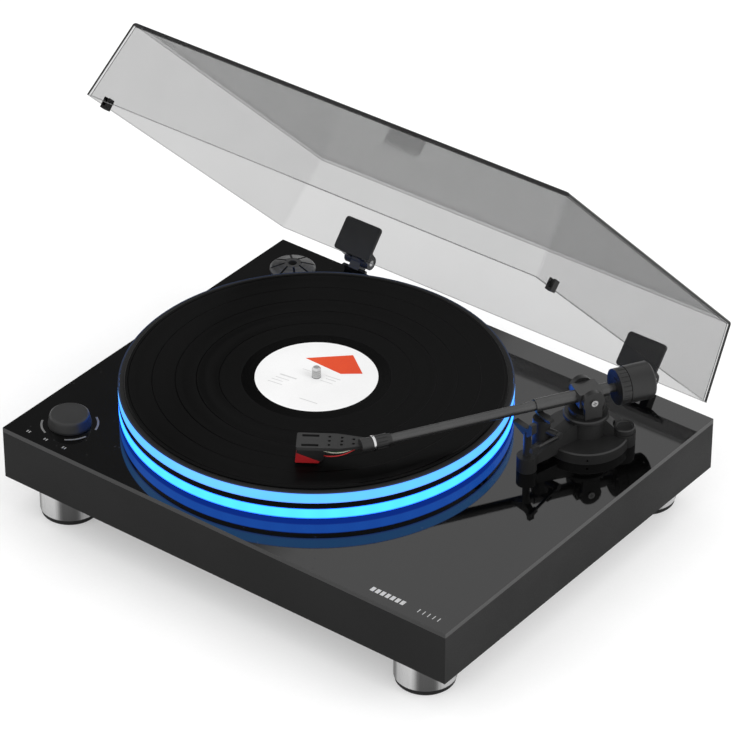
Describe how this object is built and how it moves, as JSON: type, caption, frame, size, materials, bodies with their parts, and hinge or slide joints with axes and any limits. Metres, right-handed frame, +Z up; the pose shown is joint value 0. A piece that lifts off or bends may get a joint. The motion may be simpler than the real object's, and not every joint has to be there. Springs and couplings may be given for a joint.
{
  "type": "turntable record player",
  "caption": "Black belt-drive turntable with two lit rings round the platter, a straight tonearm and a smoke-grey hinged lid, standing open.",
  "frame": {"origin": "on the floor under the middle of the whole object's box, with the lid open at 45 degrees", "axes": "+X to the right as seen from the front, +Y to the rear where the lid's hinges are, +Z up"},
  "size_m": [0.4328, 0.3885, 0.3732],
  "materials": {
    "plinth_black": "satin black lacquer",
    "deck_gloss": "high-gloss black",
    "board": "black-stained fibreboard",
    "screw_steel": "zinc-plated",
    "foot_metal": "satin chrome",
    "foot_rubber": "black rubber",
    "bearing_metal": "turned",
    "bronze": "sintered bronze and brass",
    "steel_polish": "polished steel",
    "motor_can": "plated steel",
    "led_board": "white solder mask",
    "circuit": "green solder mask",
    "switch_plastic": "moulded",
    "knob_black": "black anodised, satin",
    "platter_black": "satin black",
    "light_cyan": "lit cyan acrylic",
    "light_blue": "lit sky-blue acrylic",
    "spacer_black": "gloss black acrylic",
    "vinyl": "pressed black vinyl",
    "label_paper": "uncoated white with an orange-red shape",
    "adapter_metal": "dark anodised",
    "hinge_black": "satin black",
    "lid_smoke": "clear smoke-grey acrylic",
    "panel_black": "satin",
    "nut_metal": "nickel",
    "switch_white": "white",
    "arm_black": "black anodised, satin",
    "arm_tube_grey": "dark grey anodised, satin",
    "cartridge_black": "moulded",
    "stylus_red": "red moulding",
    "lead_insulation": "white, green, blue and red sleeves",
    "weight_black": "black anodised, satin"
  },
  "bodies": {
    "plinth": {"plinth_front": "plinth_black", "plinth_rear": "plinth_black", "plinth_left": "plinth_black", "plinth_right": "plinth_black", "top_deck": "deck_gloss", "bottom_board": "board", "pan_screws": "screw_steel", "foot_cups": "foot_metal", "foot_pads": "foot_rubber", "foot_bolts": "screw_steel", "bearing_well": "bearing_metal", "bearing_bush": "bronze", "thrust_ball": "steel_polish", "motor": "motor_can", "motor_grommets": "foot_rubber", "drive_belt": "foot_rubber", "led_ring": "led_board", "control_board": "circuit", "speed_switch": "switch_plastic", "hinge_bases": "hinge_black", "hinge_pins": "screw_steel", "rear_screws": "screw_steel", "rear_panel": "panel_black", "phono_jacks": "bronze", "ground_post": "screw_steel", "power_socket": "panel_black", "arm_base": "arm_black", "arm_rest": "arm_black", "cue_lift": "arm_black"},
    "platter": {"platter_core": "platter_black", "sub_platter": "platter_black", "spindle": "steel_polish", "lower_light": "light_cyan", "light_spacer": "spacer_black", "upper_light": "light_blue", "platter_mat": "foot_rubber", "record": "vinyl", "record_label": "label_paper"},
    "pulley": {"motor_pulley": "bronze"},
    "lid_assembly": {"lid": "lid_smoke", "lid_bumpers": "foot_rubber", "hinge_plates": "hinge_black"},
    "knob": {"speed_knob": "knob_black"},
    "adapter": {"adapter_45": "adapter_metal"},
    "ground_nut_body": {"ground_nut": "nut_metal"},
    "mode_slider": {"mode_switch": "switch_white"},
    "rocker": {"power_rocker": "panel_black"},
    "lever": {"cue_lever": "arm_black"},
    "lift": {"lift_bar": "arm_black"},
    "skate": {"skate_knob": "knob_black"},
    "yoke": {"arm_yoke": "arm_black", "yoke_screws": "screw_steel"},
    "arm": {"arm_tube": "arm_tube_grey", "headshell": "arm_tube_grey", "cartridge": "cartridge_black", "stylus": "stylus_red", "cartridge_leads": "lead_insulation"},
    "joint_nut": {"shell_nut": "arm_black"},
    "weight": {"counterweight": "weight_black"},
    "dial": {"weight_dial": "weight_black"}
  },
  "joints": [
    {"name": "platter_spin", "type": "hinge", "parent": "plinth", "child": "platter", "pos_m": [-0.0414, -0.02006, 0.0774], "axis": [0, 0, 1], "continuous": true},
    {"name": "pulley_spin", "type": "hinge", "parent": "plinth", "child": "pulley", "pos_m": [-0.10543, 0.06189, 0.0774], "axis": [0, 0, 1], "continuous": true},
    {"name": "lid_hinge", "type": "hinge", "parent": "plinth", "child": "lid_assembly", "pos_m": [0, 0.16514, 0.0822], "axis": [1, 0, 0], "range_deg": [-25, 45]},
    {"name": "knob_turn", "type": "hinge", "parent": "plinth", "child": "knob", "pos_m": [-0.1784, -0.15846, 0.0774], "axis": [0, 0, 1], "range_deg": [-42, 42]},
    {"name": "arm_swing", "type": "hinge", "parent": "plinth", "child": "yoke", "pos_m": [0.1535, 0.07044, 0.1209], "axis": [0, 0, 1], "range_deg": [-16.1, 17.7]},
    {"name": "cue_lever_turn", "type": "hinge", "parent": "plinth", "child": "lever", "pos_m": [0.13723, 0.03389, 0.1014], "axis": [-1, 0, 0], "range_deg": [0, 60]},
    {"name": "lift_bar_slide", "type": "slide", "parent": "plinth", "child": "lift", "axis": [0, 0, 1], "range_m": [0, 0.0022]},
    {"name": "arm_lift", "type": "hinge", "parent": "yoke", "child": "arm", "pos_m": [0.1535, 0.07044, 0.1209], "axis": [-0.8643, 0.503, 0], "range_deg": [0, 3.15]},
    {"name": "shell_nut_turn", "type": "hinge", "parent": "arm", "child": "joint_nut", "pos_m": [0.06799, -0.07649, 0.1209], "axis": [0.503, 0.8643, 0], "range_deg": [0, 30]},
    {"name": "counterweight_slide", "type": "slide", "parent": "arm", "child": "weight", "axis": [0.503, 0.8643, 0], "range_m": [-0.003, 0.005]},
    {"name": "weight_dial_turn", "type": "hinge", "parent": "weight", "child": "dial", "pos_m": [0.16759, 0.09464, 0.1209], "axis": [0.503, 0.8643, 0], "range_deg": [-180, 180]},
    {"name": "skate_knob_turn", "type": "hinge", "parent": "plinth", "child": "skate", "pos_m": [0.17894, 0.08633, 0.0884], "axis": [0, 0, 1], "range_deg": [0, 270]},
    {"name": "adapter_lift", "type": "slide", "parent": "plinth", "child": "adapter", "axis": [0, 0, 1], "range_m": [0, 0.03]},
    {"name": "power_rocker_tip", "type": "hinge", "parent": "plinth", "child": "rocker", "pos_m": [0.094, 0.15464, 0.0528], "axis": [1, 0, 0], "range_deg": [-8, 8]},
    {"name": "mode_switch_slide", "type": "slide", "parent": "plinth", "child": "mode_slider", "axis": [1, 0, 0], "range_m": [0, 0.005]},
    {"name": "ground_nut_turn", "type": "hinge", "parent": "plinth", "child": "ground_nut_body", "pos_m": [0.037, 0.16064, 0.0528], "axis": [0, 1, 0], "range_deg": [0, 720]}
  ],
  "couplings": [
    {"joint": "pulley_spin", "follows": "platter_spin", "ratio": 7.6667},
    {"joint": "lift_bar_slide", "follows": "cue_lever_turn", "m_per_rad": 0.0021008},
    {"joint": "arm_lift", "follows": "cue_lever_turn", "ratio": 0.0525}
  ]
}
